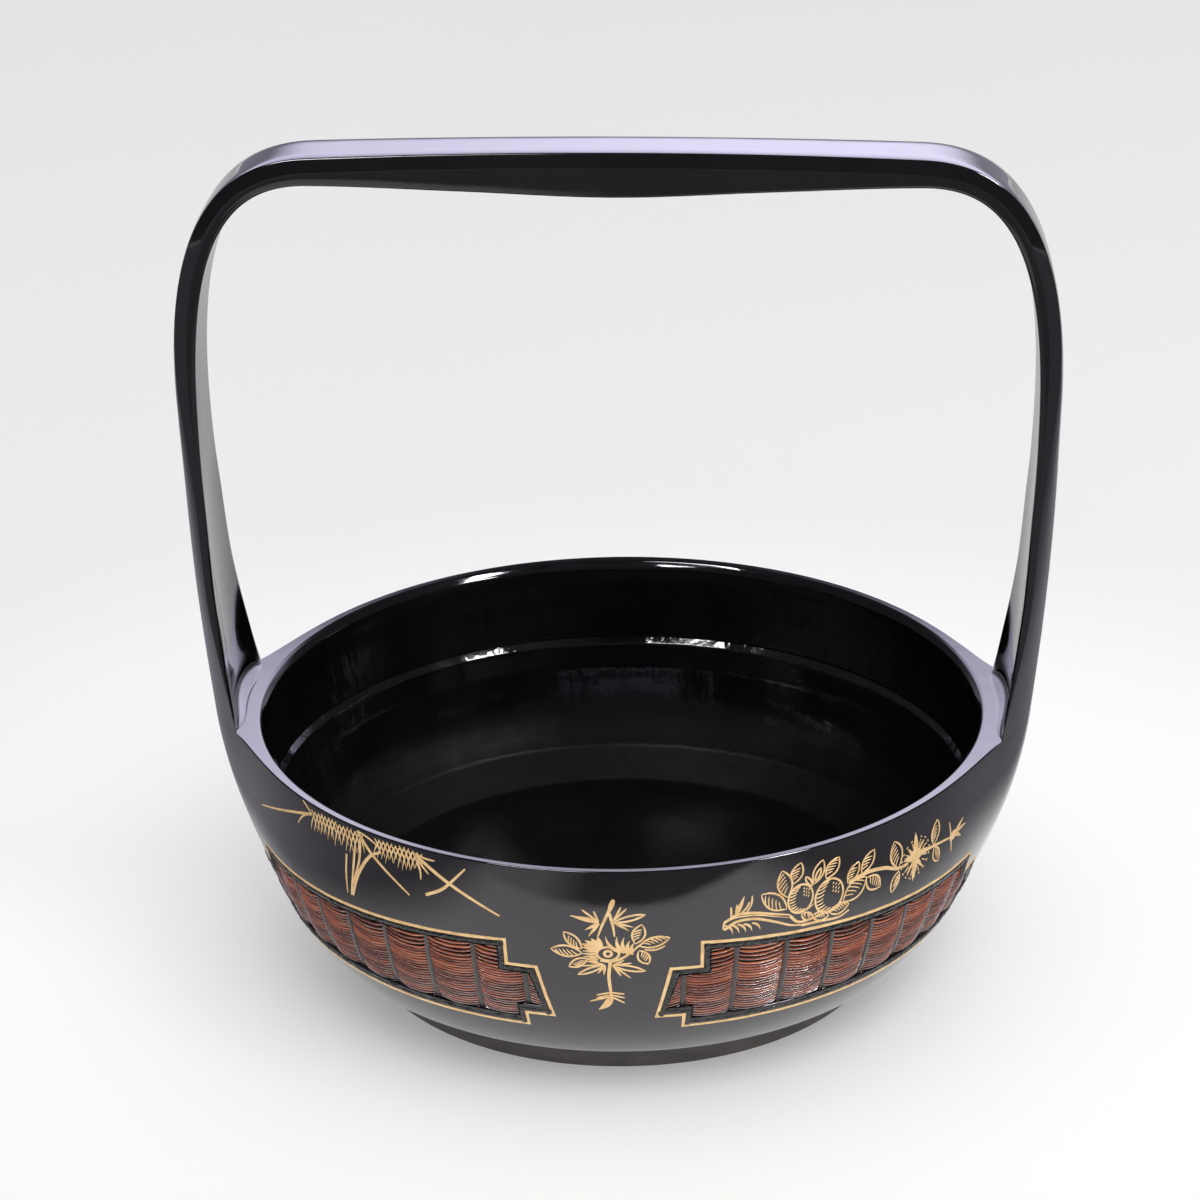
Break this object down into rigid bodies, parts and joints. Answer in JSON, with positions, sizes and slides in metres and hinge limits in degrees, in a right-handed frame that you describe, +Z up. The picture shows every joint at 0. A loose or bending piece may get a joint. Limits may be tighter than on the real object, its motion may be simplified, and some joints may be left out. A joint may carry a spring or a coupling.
{
  "type": "lacquered bamboo handle basket",
  "caption": "Round woven bamboo bowl basket in glossy black lacquer, on a foot ring, with a fixed arched handle and stepped panels of bare red weave.",
  "frame": {"origin": "middle of the foot ring on the surface that it stands on, on the bowl's axis", "axes": "+Z up along the bowl's axis, +X along the handle's arch, -Y towards the viewer of the picture"},
  "size_m": [0.3314, 0.287, 0.3275],
  "materials": {
    "black_lacquer": "bamboo under glossy black lacquer",
    "dull_lacquer": "worn satin dark lacquer",
    "red_bamboo": "thin red-brown varnish over round bamboo strands",
    "dark_bamboo": "dark varnished bamboo strips",
    "bare_bamboo": "bare bamboo, hidden",
    "bare_wood": "bare wood, hidden from above"
  },
  "bodies": {
    "root": {"outer_shell": "black_lacquer", "rim_hoop": "black_lacquer", "inner_hoop": "black_lacquer", "inner_lining": "black_lacquer", "woven_wall": "red_bamboo", "base_board": "bare_wood", "foot_ring": "dull_lacquer", "handle": "black_lacquer", "stake_01": "dark_bamboo", "stake_02": "dark_bamboo", "stake_03": "dark_bamboo", "stake_04": "dark_bamboo", "stake_05": "dark_bamboo", "stake_06": "dark_bamboo", "stake_07": "dark_bamboo", "stake_08": "dark_bamboo", "stake_09": "dark_bamboo", "stake_10": "dark_bamboo", "stake_11": "dark_bamboo", "stake_12": "dark_bamboo", "stake_13": "dark_bamboo", "stake_14": "dark_bamboo", "stake_15": "dark_bamboo", "stake_16": "dark_bamboo", "stake_17": "dark_bamboo", "stake_18": "dark_bamboo", "stake_19": "dark_bamboo", "stake_20": "dark_bamboo", "stake_21": "dark_bamboo", "stake_22": "dark_bamboo", "stake_23": "dark_bamboo", "stake_24": "dark_bamboo", "stake_25": "dark_bamboo", "stake_26": "dark_bamboo", "stake_27": "dark_bamboo", "stake_28": "dark_bamboo", "stake_29": "dark_bamboo", "stake_30": "dark_bamboo", "stake_31": "dark_bamboo", "stake_32": "dark_bamboo", "stake_33": "dark_bamboo", "stake_34": "dark_bamboo", "stake_35": "dark_bamboo", "stake_36": "dark_bamboo", "stake_37": "dark_bamboo", "stake_38": "dark_bamboo", "stake_39": "dark_bamboo", "stake_40": "dark_bamboo", "stake_41": "dark_bamboo", "stake_42": "dark_bamboo", "stake_43": "dark_bamboo", "stake_44": "dark_bamboo", "stake_45": "dark_bamboo", "peg_1": "bare_bamboo", "peg_2": "bare_bamboo", "peg_3": "bare_bamboo", "peg_4": "bare_bamboo"}
  },
  "joints": []
}
